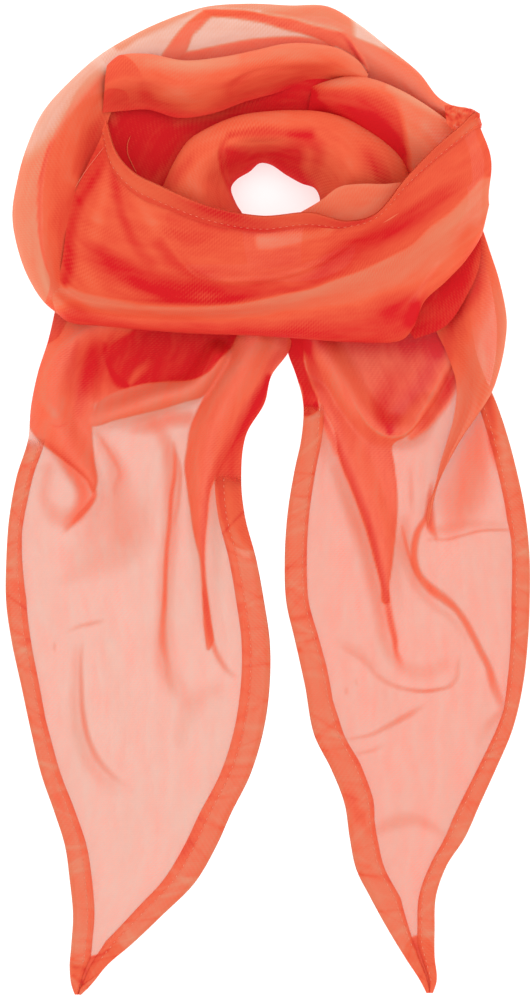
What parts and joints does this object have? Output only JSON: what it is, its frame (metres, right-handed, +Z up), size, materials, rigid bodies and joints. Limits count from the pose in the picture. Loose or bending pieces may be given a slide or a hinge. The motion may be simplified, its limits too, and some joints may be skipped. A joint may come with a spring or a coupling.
{
  "type": "chiffon scarf",
  "caption": "Long sheer chiffon scarf wound into a ring with a neck opening, laid flat with its two pointed, hemmed tails side by side.",
  "frame": {"origin": "centre of the bounding box's bottom face, on the surface that the scarf lies on", "axes": "+Z up from that surface, +Y from the tails' tips to the back of the ring, +X to the right as seen from above with the tails towards the viewer"},
  "size_m": [0.3146, 0.5939, 0.0484],
  "materials": {
    "chiffon": "sheer coral chiffon, plain weave, soft sheen",
    "hem": "doubled and stitched coral chiffon",
    "folded_layers": "many layers of coral chiffon on each other"
  },
  "bodies": {
    "root": {"core": "folded_layers", "left_tail": "chiffon", "left_tail_outer_hem": "hem", "left_tail_inner_hem": "hem", "right_tail": "chiffon", "right_tail_inner_hem": "hem", "right_tail_outer_hem": "hem", "right_shoulder": "chiffon", "left_loop": "chiffon", "back_loop": "chiffon", "inner_turn": "chiffon", "back_roll": "chiffon", "right_roll": "chiffon", "neck_roll": "chiffon", "neck_flap": "chiffon", "lower_fold": "chiffon", "front_loop": "chiffon", "front_hem": "hem"}
  },
  "joints": []
}
